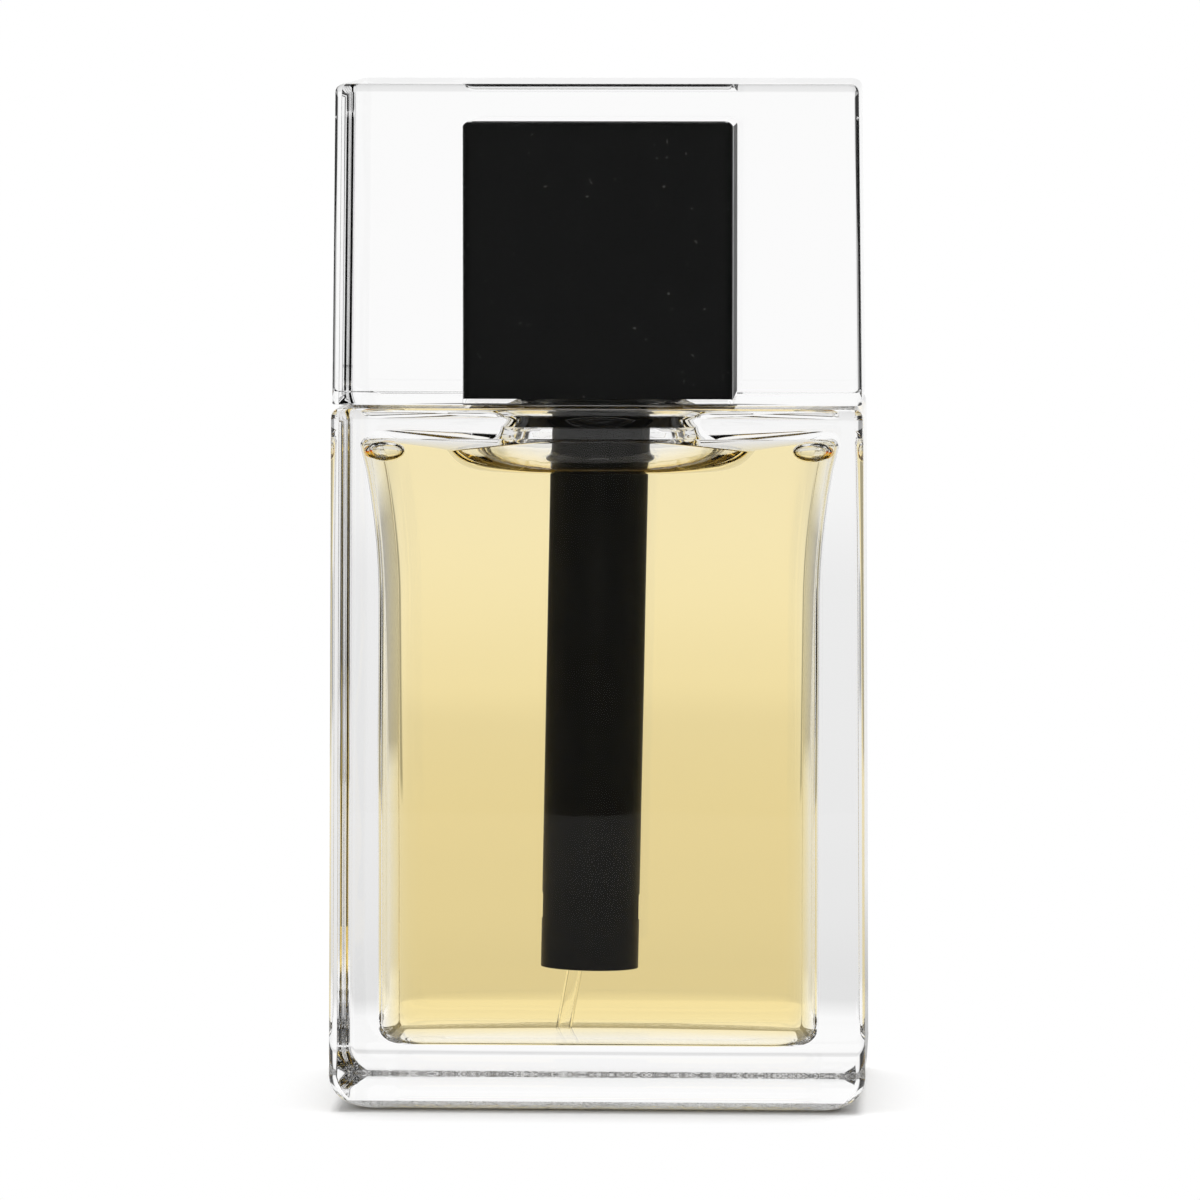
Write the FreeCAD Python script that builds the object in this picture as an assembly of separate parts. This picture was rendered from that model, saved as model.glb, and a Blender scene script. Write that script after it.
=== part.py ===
import FreeCAD, Part
import os
import math

# A heavy rectangular glass spray bottle of lotion, with a black sleeve hung around its dip tube,
# a crimped spray pump and a clear block cap that holds a black core.
# Millimetres, +Z up, +X across the front, the front face towards -Y, origin at the middle of the base.

Vector = FreeCAD.Vector

# Glass bottle, outside
bottle_width = 61.0
bottle_depth = 39.0
shoulder_height = 80.0
upright_edge_radius = 2.0
heel_radius = 3.2
shoulder_edge_radius = 1.5
bearing_ring_width = 5.0
base_recess_depth = 0.8
base_recess_corner_radius = 3.0
index_notch_length = 3.0
index_notch_width = 1.6
index_notch_height = 1.6
index_notch_inset = 3.0

# Glass bottle, cavity
floor_thickness = 6.8
ceiling_thickness = 4.4
side_wall = 5.4
face_wall = 5.0
cavity_flare = 2.1
cavity_flare_height = 18.0
cavity_corner_radius = 4.5
cavity_floor_radius = 4.2

# Glass neck
neck_height = 8.0
neck_wall = 2.0
neck_bead_projection = 1.0
neck_bead_height = 3.4
neck_bead_radius = 0.7
neck_root_radius = 3.5
neck_clearance = 0.4
throat_diameter = 26.8
throat_radius = 3.4

# Lotion
air_pocket_diameter = 33.4
air_pocket_depth = 2.9
fill_clearance = 0.08

# Fits
slip_clearance = 0.05
turning_clearance = 0.03

# Pump housing
chamber_bore = 7.0
barrel_wall = 0.8
barrel_floor = 1.2
barrel_taper_height = 2.0
flange_thickness = 1.4
flange_setback = 0.6
nipple_wall = 1.4
inlet_bore = 1.6
inlet_length = 2.5
tube_socket_depth = 4.0
gasket_thickness = 1.0

# Black sleeve around the dip tube
sleeve_wall = 0.7
sleeve_land_step = 0.55
sleeve_land_height = 3.0
sleeve_land_drop = 3.0
sleeve_lip_height = 1.0
sleeve_lip_clearance = 0.15
sleeve_hang_gap = 0.15
sleeve_floor_gap = 8.2
sleeve_lean_degrees = 1.15
sleeve_window_width = 2.4
sleeve_window_height = 3.0
sleeve_window_rise = 5.5

# Dip tube
tube_diameter = 1.8
tube_wall = 0.3
tube_straight_length = 4.0
tube_bend_height = 10.7
tube_bend_offset = 2.6
tube_tip_offset = 4.4
tube_tip_gap = 0.6
tube_bend_radius = 40.0
tube_end_gap = 0.1

# Inlet valve and return spring
ball_diameter = 2.5
ball_clearance = 0.25
ball_lift = 0.8
ball_seat_gap = 0.02
spring_seat_height = 1.0
spring_seat_hole = 1.8
spring_seat_slot = 0.6
spring_length = 12.2
spring_wire = 0.5
spring_mean_diameter = 4.8
spring_turns = 6
spring_end_gap = 0.05

# Turret, stem and piston
turret_flange_thickness = 1.2
turret_plug_depth = 3.4
stem_diameter = 3.2
stem_bore = 1.2
stem_guide_clearance = 0.1
stem_foot_diameter = 6.0
stem_foot_height = 1.0
stem_port = 0.7
stem_port_rise = 0.8
stem_seal_width = 1.3
stem_seal_height = 0.9
piston_height = 3.5
piston_gap = 0.1
piston_lip_height = 0.8
piston_waist = 0.4
pump_stroke = 4.6

# Ferrule and collar
ferrule_sheet = 0.4
ferrule_hole_clearance = 0.8
ferrule_crimp_clearance = 0.2
collar_wall = 1.0
collar_plate = 1.4
collar_edge_radius = 0.8
collar_foot_gap = 1.2

# Spray button
button_diameter = 13.2
button_height = 9.0
button_clearance = 0.4
button_stop_gap = 0.3
button_shell_wall = 0.55
button_shell_top = 1.2
button_edge_radius = 0.7
finger_dish_diameter = 9.0
finger_dish_depth = 0.6
stem_engagement = 4.0
stem_end_gap = 0.1
nozzle_diameter = 3.8
nozzle_length = 2.8
nozzle_recess = 0.25
nozzle_rise = 5.0
nozzle_orifice = 0.4
nozzle_mouth_diameter = 2.0
nozzle_mouth_depth = 0.4
swirl_diameter = 1.8
swirl_depth = 1.2
spray_channel = 1.0

# Cap
cap_inset = 0.6
cap_gap = 0.4
cap_upright_radius = 0.9
cap_top_edge_radius = 1.2
cap_foot_edge_radius = 0.5
cap_top_thickness = 4.3
core_wall = 1.5
core_top_edge_radius = 0.9
core_upright_radius = 0.8
core_foot_recess = 0.5
core_headroom = 4.8
liner_face_wall = 1.4
liner_side_wall = 3.2
liner_ledge = 1.0
liner_ledge_clearance = 0.5
liner_foot_rise = 1.2
liner_corner_radius = 0.6
liner_seat_gap = 0.05

# Levels up the bottle and the pump
cavity_ceiling = shoulder_height - ceiling_thickness
neck_top = shoulder_height + neck_height
bead_bottom = neck_top - neck_bead_height
gasket_top = neck_top + gasket_thickness
flange_top = gasket_top + flange_thickness
turret_top = flange_top + turret_flange_thickness
ferrule_top = turret_top + ferrule_sheet
collar_top = ferrule_top + slip_clearance + collar_plate
plug_bottom = flange_top - turret_plug_depth
piston_top = plug_bottom - piston_gap
piston_bottom = piston_top - piston_height
stem_foot_bottom = piston_bottom - stem_foot_height
spring_seat_top = stem_foot_bottom - spring_length
chamber_floor = spring_seat_top - spring_seat_height
land_top = neck_top - sleeve_land_drop
land_bottom = land_top - sleeve_land_height
sleeve_top = land_top + sleeve_hang_gap + sleeve_lip_height
sleeve_bottom = floor_thickness + sleeve_floor_gap
lotion_level = cavity_ceiling - air_pocket_depth

# Radii, each worked out from the piece inside it
chamber_radius = chamber_bore / 2
barrel_radius = chamber_radius + barrel_wall
land_radius = barrel_radius + sleeve_land_step
sleeve_bore_radius = land_radius + slip_clearance
sleeve_radius = sleeve_bore_radius + sleeve_wall
neck_bore_radius = sleeve_radius + neck_clearance
neck_radius = neck_bore_radius + neck_wall
bead_radius = neck_radius + neck_bead_projection
flange_radius = bead_radius - flange_setback
ferrule_bore_radius = bead_radius + slip_clearance
ferrule_radius = ferrule_bore_radius + ferrule_sheet
collar_bore_radius = ferrule_radius + slip_clearance
collar_radius = collar_bore_radius + collar_wall
button_radius = button_diameter / 2
collar_mouth_radius = button_radius + button_clearance
liner_bore_radius = collar_radius + slip_clearance
stem_radius = stem_diameter / 2
tube_radius = tube_diameter / 2
tube_socket_radius = tube_radius + slip_clearance
nipple_radius = tube_socket_radius + nipple_wall
nozzle_radius = nozzle_diameter / 2

# Inlet valve, worked out from how far the ball lifts
ball_radius = ball_diameter / 2
inlet_radius = inlet_bore / 2
ball_rest_height = math.sqrt(ball_radius ** 2 - inlet_radius ** 2) + ball_seat_gap
ball_stop_height = math.sqrt(ball_radius ** 2 - (spring_seat_hole / 2) ** 2) + ball_seat_gap
ball_pocket_floor = chamber_floor - ball_rest_height - ball_lift - ball_stop_height
inlet_bottom = ball_pocket_floor - inlet_length
nipple_bottom = inlet_bottom - tube_socket_depth

# Button and cap levels, so that the cap always clears the button
button_bottom = ferrule_top + pump_stroke + button_stop_gap
button_top = button_bottom + button_height
stem_top = button_bottom + stem_engagement
nozzle_level = button_bottom + nozzle_rise
cap_bottom = shoulder_height + cap_gap
core_bottom = cap_bottom + core_foot_recess
core_ceiling = button_top + core_headroom
core_top = core_ceiling + core_wall
cap_top = core_top + cap_top_thickness
liner_bottom = cap_bottom + liner_foot_rise
liner_ledge_bottom = collar_top + liner_seat_gap
liner_top = liner_ledge_bottom + liner_ledge
liner_width = 2 * (liner_bore_radius + liner_side_wall)
liner_depth = 2 * (liner_bore_radius + liner_face_wall)
core_room_width = liner_width + 2 * slip_clearance
core_room_depth = liner_depth + 2 * slip_clearance
core_width = core_room_width + 2 * core_wall
core_depth = core_room_depth + 2 * core_wall

axis_start = Vector(0, 0, 0)
up = Vector(0, 0, 1)
right = Vector(1, 0, 0)
back = Vector(0, 1, 0)


def rounded_corner(before, corner, after, radius):
    """The start, middle and end of the arc that rounds one corner of an outline or a path."""
    to_before = (before - corner).normalize()
    to_after = (after - corner).normalize()
    half_angle = to_before.getAngle(to_after) / 2
    reach = radius / math.tan(half_angle)
    inward = (to_before + to_after).normalize()
    middle = corner + inward * (radius / math.sin(half_angle) - radius)
    return corner + to_before * reach, middle, corner + to_after * reach


def outline_face(corners, place):
    """A flat face through corners (u, v, radius), where place turns u and v into a point."""
    points = [place(u, v) for u, v, radius in corners]
    edges = []
    ends = []
    for i, (u, v, radius) in enumerate(corners):
        if radius > 0:
            start, middle, end = rounded_corner(points[i - 1], points[i], points[(i + 1) % len(points)], radius)
            edges.append(Part.Arc(start, middle, end).toShape())
            ends.append((start, end))
        else:
            ends.append((points[i], points[i]))
    for i, (start, end) in enumerate(ends):
        line_start = ends[i - 1][1]
        if (start - line_start).Length > 1e-7:
            edges.append(Part.makeLine(line_start, start))
    return Part.Face(Part.Wire(Part.__sortEdges__(edges)))


def turned(corners):
    """A solid turned about the bottle's axis from an outline of (radius, level, corner radius)."""
    face = outline_face(corners, lambda u, v: Vector(u, 0, v))
    return face.revolve(axis_start, up, 360)


def ring(inner_radius, outer_radius, bottom, top):
    """A plain washer or tube about the bottle's axis."""
    corners = [(inner_radius, bottom), (outer_radius, bottom), (outer_radius, top), (inner_radius, top)]
    return turned([(u, v, 0) for u, v in corners])


def rod(radius, bottom, top):
    """An upright cylinder about the bottle's axis."""
    return Part.makeCylinder(radius, top - bottom, Vector(0, 0, bottom), up)


def rectangle(width, low, high, low_radius, high_radius):
    """The corners of a rectangle about the middle, with its own low and high corner radii."""
    half = width / 2
    return [(-half, low, low_radius), (half, low, low_radius), (half, high, high_radius), (-half, high, high_radius)]


def upright_block(width, depth, radius, bottom, top):
    """A block with rounded upright edges."""
    corners = rectangle(width, -depth / 2, depth / 2, radius, radius)
    return outline_face(corners, lambda u, v: Vector(u, v, bottom)).extrude(up * (top - bottom))


def soft_block(width, depth, bottom, top, upright_radius, low_radius, high_radius):
    """A block with its upright, low and high edges rounded, each by its own radius."""
    front = rectangle(width, bottom, top, low_radius, high_radius)
    side = rectangle(depth, bottom, top, low_radius, high_radius)
    from_front = outline_face(front, lambda u, v: Vector(u, -depth / 2, v)).extrude(back * depth)
    from_side = outline_face(side, lambda u, v: Vector(-width / 2, u, v)).extrude(right * width)
    from_above = upright_block(width, depth, upright_radius, bottom, top)
    return from_above.common(from_front).common(from_side)


def lean(shape):
    """Lean a shape as the sleeve leans, about the middle of the land that it hangs on."""
    leaning = shape.copy()
    leaning.rotate(Vector(0, 0, (land_top + land_bottom) / 2), back, sleeve_lean_degrees)
    return leaning


def cavity(inset):
    """The bottle's hollow, drawn in from the glass by an inset: upright walls that flare to the ceiling."""
    half_width = bottle_width / 2 - side_wall - inset
    depth = bottle_depth - 2 * face_wall - 2 * inset
    floor = floor_thickness + inset
    ceiling = cavity_ceiling - inset
    flare_start = cavity_ceiling - cavity_flare_height
    rise = ceiling - flare_start
    sweep_radius = (cavity_flare_height ** 2 + cavity_flare ** 2) / (2 * cavity_flare)
    sweep_angle = math.asin(rise / sweep_radius)

    def wall_point(side, angle):
        out = half_width + sweep_radius * (1 - math.cos(angle))
        return Vector(side * out, -depth / 2, flare_start + sweep_radius * math.sin(angle))

    def wall(side):
        foot = Vector(side * half_width, -depth / 2, floor)
        flare = Part.Arc(wall_point(side, 0), wall_point(side, sweep_angle / 2), wall_point(side, sweep_angle))
        return [Part.makeLine(foot, wall_point(side, 0)), flare.toShape()]

    floor_line = Part.makeLine(Vector(-half_width, -depth / 2, floor), Vector(half_width, -depth / 2, floor))
    ceiling_line = Part.makeLine(wall_point(-1, sweep_angle), wall_point(1, sweep_angle))
    edges = wall(-1) + wall(1) + [floor_line, ceiling_line]
    solid = Part.Face(Part.Wire(Part.__sortEdges__(edges))).extrude(back * depth)
    upright = [edge for edge in solid.Edges if edge.BoundBox.ZLength > inset and edge.BoundBox.YLength < 1e-6]
    solid = solid.makeFillet(cavity_corner_radius - inset, upright)
    at_floor = [edge for edge in solid.Edges if edge.BoundBox.ZMax < floor + 1e-6]
    return solid.makeFillet(cavity_floor_radius - inset, at_floor)


def glass_bottle():
    """Thick-walled body, round throat under a beaded neck, recessed base with an indexing notch."""
    glass = soft_block(bottle_width, bottle_depth, 0, shoulder_height,
                       upright_edge_radius, heel_radius, shoulder_edge_radius)
    glass = glass.fuse(turned([
        (0, cavity_ceiling, 0), (neck_radius + 2 * neck_root_radius, cavity_ceiling, 0),
        (neck_radius + 2 * neck_root_radius, shoulder_height, 0), (neck_radius, shoulder_height, neck_root_radius),
        (neck_radius, bead_bottom, 0), (bead_radius, bead_bottom, neck_bead_radius),
        (bead_radius, neck_top, neck_bead_radius), (0, neck_top, 0)])).removeSplitter()
    throat_top = cavity_ceiling + throat_radius
    throat = turned([(0, cavity_ceiling - throat_radius, 0), (throat_diameter / 2, cavity_ceiling - throat_radius, 0),
                     (throat_diameter / 2, throat_top, throat_radius), (0, throat_top, 0)])
    throat = throat.common(rod(throat_diameter, cavity_ceiling - fill_clearance, throat_top))
    hollow = cavity(0).fuse(throat).fuse(rod(neck_bore_radius, cavity_ceiling, neck_top))
    recess = upright_block(bottle_width - 2 * bearing_ring_width, bottle_depth - 2 * bearing_ring_width,
                           base_recess_corner_radius, 0, base_recess_depth)
    notch_start = Vector(-bottle_width / 2 + heel_radius + index_notch_inset, bottle_depth / 2 - bearing_ring_width, 0)
    notch = Part.makeBox(index_notch_length, index_notch_width, index_notch_height, notch_start)
    return glass.cut(hollow).cut(recess).cut(notch)


def lotion_fill():
    """Lotion that fills the cavity around a flat air pocket under the neck, the sleeve and the tube."""
    lotion = cavity(fill_clearance)
    lotion = lotion.cut(rod(air_pocket_diameter / 2, lotion_level, shoulder_height))
    sleeve_room = lean(rod(sleeve_radius + fill_clearance, sleeve_bottom - fill_clearance, shoulder_height))
    return lotion.cut(sleeve_room).cut(tube_solid(tube_radius + fill_clearance, tube_tip_gap))


def neck_gasket():
    """Flat elastomer washer that seals the pump's flange on the glass."""
    return ring(barrel_radius + slip_clearance, flange_radius, neck_top, gasket_top)


def pump_housing():
    """Flanged barrel with a land for the sleeve, a ball pocket and a nipple for the dip tube."""
    barrel_end = chamber_floor - barrel_floor
    taper_end = barrel_end - barrel_taper_height
    outside = [(0, nipple_bottom), (nipple_radius, nipple_bottom), (nipple_radius, taper_end),
               (barrel_radius, barrel_end), (barrel_radius, land_bottom), (land_radius, land_bottom),
               (land_radius, land_top), (barrel_radius, land_top), (barrel_radius, gasket_top),
               (flange_radius, gasket_top), (flange_radius, flange_top), (0, flange_top)]
    housing = turned([(u, v, 0) for u, v in outside])
    housing = housing.cut(rod(chamber_radius, chamber_floor, flange_top))
    housing = housing.cut(rod(ball_radius + ball_clearance, ball_pocket_floor, chamber_floor))
    housing = housing.cut(rod(inlet_radius, inlet_bottom, ball_pocket_floor))
    return housing.cut(rod(tube_socket_radius, nipple_bottom, inlet_bottom))


def tube_route(overrun):
    """The dip tube's path: down out of its socket, then bending twice towards a side of the floor."""
    points = [Vector(0, 0, inlet_bottom - tube_end_gap), Vector(0, 0, nipple_bottom - tube_straight_length),
              Vector(-tube_bend_offset, 0, floor_thickness + tube_bend_height),
              Vector(-tube_tip_offset, 0, floor_thickness + tube_tip_gap)]
    points[-1] += (points[-1] - points[-2]).normalize() * overrun
    edges = []
    run_start = points[0]
    for before, corner, after in zip(points, points[1:], points[2:]):
        start, middle, end = rounded_corner(before, corner, after, tube_bend_radius)
        edges.append(Part.makeLine(run_start, start))
        edges.append(Part.Arc(start, middle, end).toShape())
        run_start = end
    edges.append(Part.makeLine(run_start, points[-1]))
    return Part.Wire(edges)


def tube_solid(radius, overrun):
    """A round bar along the dip tube's path, run past its tip by an overrun."""
    route = tube_route(overrun)
    start = route.Vertexes[0].Point
    section = Part.Wire(Part.makeCircle(radius, start, up))
    return route.makePipeShell([section], True, True)


def dip_tube():
    """Clear tube from the pump's nipple to just above the floor."""
    return tube_solid(tube_radius, 0).cut(tube_solid(tube_radius - tube_wall, 0))


def tube_sleeve():
    """Black tube hung by its lip on the housing's land, with a window low on each side."""
    sleeve = ring(sleeve_bore_radius, sleeve_radius, sleeve_bottom, sleeve_top)
    lip = ring(barrel_radius + sleeve_lip_clearance, sleeve_radius, sleeve_top - sleeve_lip_height, sleeve_top)
    window_corner = Vector(-2 * sleeve_radius, -sleeve_window_width / 2, sleeve_bottom + sleeve_window_rise)
    window = Part.makeBox(4 * sleeve_radius, sleeve_window_width, sleeve_window_height, window_corner)
    return lean(sleeve.fuse(lip).removeSplitter().cut(window))


def spring_seat():
    """Ring on the chamber's floor that keeps the ball in its pocket, slotted underneath for the flow."""
    seat = ring(spring_seat_hole / 2, chamber_radius - slip_clearance, chamber_floor, spring_seat_top)
    slot_corner = Vector(-chamber_radius, -spring_seat_slot / 2, chamber_floor)
    return seat.cut(Part.makeBox(chamber_bore, spring_seat_slot, spring_seat_height / 2, slot_corner))


def inlet_ball():
    """Steel ball on the edge of the inlet."""
    return Part.makeSphere(ball_radius, Vector(0, 0, ball_pocket_floor + ball_rest_height))


def return_spring():
    """Coil spring between the spring seat and the stem's foot."""
    wire_radius = spring_wire / 2
    start = spring_seat_top + wire_radius + spring_end_gap
    height = stem_foot_bottom - wire_radius - spring_end_gap - start
    mean_radius = spring_mean_diameter / 2
    helix = Part.makeHelix(height / spring_turns, height, mean_radius)
    section = Part.Wire(Part.makeCircle(wire_radius, Vector(mean_radius, 0, 0), back))
    spring = helix.makePipeShell([section], True, True)
    spring.translate(up * start)
    return spring


def pump_turret():
    """Flanged plug that closes the chamber and guides the stem, with a pocket for the stem's seal."""
    turret = rod(flange_radius, flange_top, turret_top)
    turret = turret.fuse(rod(chamber_radius - slip_clearance, plug_bottom, flange_top)).removeSplitter()
    turret = turret.cut(rod(stem_radius + stem_guide_clearance, plug_bottom, turret_top))
    seal_room = stem_radius + slip_clearance + stem_seal_width + slip_clearance
    return turret.cut(rod(seal_room, turret_top - stem_seal_height - 2 * slip_clearance, turret_top))


def stem_seal():
    """Soft ring around the stem, held down by the ferrule."""
    inner = stem_radius + slip_clearance
    top = turret_top - slip_clearance
    return ring(inner, inner + stem_seal_width, top - stem_seal_height, top)


def pump_stem():
    """Hollow stem with a foot under the piston and a cross port just above it."""
    foot = rod(stem_foot_diameter / 2, stem_foot_bottom, piston_bottom)
    stem = rod(stem_radius, piston_bottom, stem_top).fuse(foot).removeSplitter()
    stem = stem.cut(rod(stem_bore / 2, piston_bottom, stem_top))
    port_start = Vector(-stem_radius, 0, piston_bottom + stem_port_rise)
    return stem.cut(Part.makeCylinder(stem_port / 2, stem_diameter, port_start, right))


def pump_piston():
    """Piston with a sealing lip at each end and a waist between them."""
    bore = stem_radius + slip_clearance
    outer = chamber_radius - slip_clearance
    outline = [(bore, piston_bottom), (outer, piston_bottom), (outer, piston_bottom + piston_lip_height),
               (outer - piston_waist, piston_bottom + piston_lip_height),
               (outer - piston_waist, piston_top - piston_lip_height),
               (outer, piston_top - piston_lip_height), (outer, piston_top), (bore, piston_top)]
    return turned([(u, v, 0) for u, v in outline])


def crimp_ferrule():
    """Thin aluminium cup over the pump's flange, folded in under the neck's bead."""
    hole = stem_radius + ferrule_hole_clearance
    crimp = neck_radius + ferrule_crimp_clearance
    fold_top = bead_bottom - slip_clearance
    fold_bottom = fold_top - ferrule_sheet
    outline = [(hole, turret_top), (ferrule_bore_radius, turret_top), (ferrule_bore_radius, fold_top),
               (crimp, fold_top), (crimp, fold_bottom), (ferrule_radius, fold_bottom),
               (ferrule_radius, ferrule_top), (hole, ferrule_top)]
    return turned([(u, v, 0) for u, v in outline])


def collar_ring():
    """Black collar over the ferrule, with a mouth that the button sinks into."""
    bottom = shoulder_height + collar_foot_gap
    plate_bottom = ferrule_top + slip_clearance
    return turned([(collar_bore_radius, bottom, 0), (collar_radius, bottom, 0),
                   (collar_radius, collar_top, collar_edge_radius), (collar_mouth_radius, collar_top, 0),
                   (collar_mouth_radius, plate_bottom, 0), (collar_bore_radius, plate_bottom, 0)])


def nozzle_room(radius, start, length):
    """A cylinder along the spray's line, from a distance in front of the axis towards the front."""
    return Part.makeCylinder(radius, length, Vector(0, -start, nozzle_level), Vector(0, -1, 0))


def nozzle_back():
    """How far in front of the axis the nozzle's back end lies."""
    return button_radius - nozzle_recess - nozzle_length


def button_core():
    """Moulded inner button: a socket for the stem, a pocket for the nozzle and the channel between them."""
    radius = button_radius - button_shell_wall - slip_clearance
    core = rod(radius, button_bottom, button_top - button_shell_top - slip_clearance)
    core = core.cut(rod(stem_radius + turning_clearance, button_bottom, stem_top + stem_end_gap))
    core = core.cut(rod(stem_bore / 2, stem_top, nozzle_level + spray_channel))
    core = core.cut(nozzle_room(spray_channel / 2, 0, button_radius))
    return core.cut(nozzle_room(nozzle_radius + slip_clearance, nozzle_back() - slip_clearance, button_radius))


def button_shell():
    """Metal cup over the inner button, dished for a finger, with a hole for the nozzle."""
    shell = turned([(0, button_bottom, 0), (button_radius, button_bottom, 0),
                    (button_radius, button_top, button_edge_radius), (0, button_top, 0)])
    room = button_radius - button_shell_wall
    shell = shell.cut(rod(room, button_bottom, button_top - button_shell_top))
    dish_radius = ((finger_dish_diameter / 2) ** 2 + finger_dish_depth ** 2) / (2 * finger_dish_depth)
    dish_centre = Vector(0, 0, button_top + dish_radius - finger_dish_depth)
    shell = shell.cut(Part.makeSphere(dish_radius, dish_centre))
    return shell.cut(nozzle_room(nozzle_radius + slip_clearance, nozzle_back(), button_radius))


def nozzle_insert():
    """Round insert with a swirl chamber behind a fine orifice and a shallow mouth."""
    start = nozzle_back()
    insert = nozzle_room(nozzle_radius, start, nozzle_length)
    insert = insert.cut(nozzle_room(swirl_diameter / 2, start, swirl_depth))
    insert = insert.cut(nozzle_room(nozzle_orifice / 2, start, nozzle_length))
    mouth_start = start + nozzle_length - nozzle_mouth_depth
    return insert.cut(nozzle_room(nozzle_mouth_diameter / 2, mouth_start, nozzle_mouth_depth))


def cap_block():
    """Clear solid block with a square pocket up into it for the core."""
    block = soft_block(bottle_width - 2 * cap_inset, bottle_depth - 2 * cap_inset, cap_bottom, cap_top,
                       cap_upright_radius, cap_foot_edge_radius, cap_top_edge_radius)
    pocket = soft_block(core_width + 2 * slip_clearance, core_depth + 2 * slip_clearance,
                        cap_bottom, core_top + slip_clearance,
                        core_upright_radius + slip_clearance, 0, core_top_edge_radius + slip_clearance)
    return block.cut(pocket)


def cap_core():
    """Black square cup in the clear block, open below."""
    core = soft_block(core_width, core_depth, core_bottom, core_top, core_upright_radius, 0, core_top_edge_radius)
    return core.cut(upright_block(core_room_width, core_room_depth, liner_corner_radius, core_bottom, core_ceiling))


def cap_liner():
    """Moulded liner in the core: a bore that grips the collar, and a ledge that rests on it."""
    liner = upright_block(liner_width, liner_depth, liner_corner_radius, liner_bottom, liner_top)
    liner = liner.cut(rod(liner_bore_radius, liner_bottom, liner_ledge_bottom))
    return liner.cut(rod(collar_mouth_radius + liner_ledge_clearance, liner_ledge_bottom, liner_top))


makers = [
    glass_bottle, lotion_fill, neck_gasket, pump_housing, dip_tube, tube_sleeve, spring_seat, inlet_ball,
    return_spring, pump_turret, stem_seal, pump_stem, pump_piston, crimp_ferrule, collar_ring,
    button_core, button_shell, nozzle_insert, cap_block, cap_core, cap_liner,
]

os.makedirs("parts", exist_ok=True)
for maker in makers:
    maker().exportStep("parts/" + maker.__name__ + ".step")
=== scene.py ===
import math

import bmesh
import bpy
from bpy.props import FloatProperty, FloatVectorProperty, PointerProperty
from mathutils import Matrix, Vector, noise


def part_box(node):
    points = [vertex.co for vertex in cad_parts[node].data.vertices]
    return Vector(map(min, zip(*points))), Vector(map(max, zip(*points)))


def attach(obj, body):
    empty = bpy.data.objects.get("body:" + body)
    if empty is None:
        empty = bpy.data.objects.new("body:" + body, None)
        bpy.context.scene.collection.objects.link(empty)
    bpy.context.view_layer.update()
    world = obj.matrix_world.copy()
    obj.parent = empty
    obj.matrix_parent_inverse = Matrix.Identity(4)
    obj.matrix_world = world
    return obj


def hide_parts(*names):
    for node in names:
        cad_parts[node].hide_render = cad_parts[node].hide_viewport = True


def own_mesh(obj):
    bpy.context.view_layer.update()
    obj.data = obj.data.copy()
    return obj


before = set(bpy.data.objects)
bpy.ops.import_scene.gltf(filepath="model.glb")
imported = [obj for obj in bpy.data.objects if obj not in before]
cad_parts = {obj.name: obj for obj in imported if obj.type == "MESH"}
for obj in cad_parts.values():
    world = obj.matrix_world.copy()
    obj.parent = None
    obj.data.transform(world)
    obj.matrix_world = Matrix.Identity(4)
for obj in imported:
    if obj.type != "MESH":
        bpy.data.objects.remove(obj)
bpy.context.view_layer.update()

bl_info = {
    "name": "Aftershave spray bottle",
    "version": (1, 0, 0),
    "blender": (4, 5, 0),
    "location": "3D View > Sidebar > Bottle",
    "description": "Glass, lotion, clear cap, finishes and a studio stage around a spray bottle's frame",
    "category": "Add Mesh",
}

MM = 0.001

# Corners of boxes read from the frame, in millimetres
glass_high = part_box("glass_bottle")[1] / MM
cap_low, cap_high = (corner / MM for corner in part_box("cap_block"))
core_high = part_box("cap_core")[1] / MM
sleeve_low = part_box("tube_sleeve")[0] / MM
spring_low, spring_high = (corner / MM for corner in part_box("return_spring"))
gasket_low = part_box("neck_gasket")[0] / MM

# Steps of every lofted section, so that any two of them join, and how its corners shrink where it draws in
CORNER_STEPS = 12
SIDE_STEPS = 12
ARC_STEPS = 8
ROUND_SIDE_ANGLE = math.radians(15)
CORNER_SHRINK = 0.5

# Sizes of the glass that nobody would change by themselves: millimetres, shares and counts of rings
CAP_SEAT_GAP = 0.4
SHOULDER_LEVEL = cap_low.z - CAP_SEAT_GAP
NECK_TOP = gasket_low.z
NECK_RADIUS = 8.0
NECK_ROOT = 3.5
ROOT_RING = 0.6
BEAD_RADIUS = 9.0
BEAD_HEIGHT = 3.4
BEAD_EDGE = 0.7
BORE_RADIUS = 6.0
BORE_FOOT = 1.0
BORE_EDGE = 0.8
LIP_EDGE = 0.6
RECESS_DEPTH = 0.8
RECESS_DOME = 0.2
RECESS_CORNER = 3.0
RECESS_SHARES = (0.1, 0.4, 0.7, 0.93)
BEARING_WIDTH = 5.4
BEARING_CORNER = 2.6
BEARING_SHARES = (0.1, 0.5, 1.0)
BODY_STRETCH = 1.8
BODY_LEVELS = (12.0, 26.0, 40.0, 54.0, 68.0)
HEEL_CORNER = 0.6
EDGE_RING = 0.4
STIPPLED_RINGS = 4
THROAT_WIDTH = 11.2
THROAT_DEPTH = 10.0
THROAT_CORNER = 3.8
THROAT_HEIGHT = 4.1
CHAMFER_IN = 2.5
CHAMFER_DROP = 2.2
FLARE_WIDTH = 5.6
FLARE_DEPTH = 0.5
FLARE_CORNER = 3.0
SLEEVE_RADIUS = 5.6
SLEEVE_WALL = 0.7
SLEEVE_LEAN = math.tan(math.radians(1.15))
SLEEVE_PIVOT = 83.5

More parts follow.
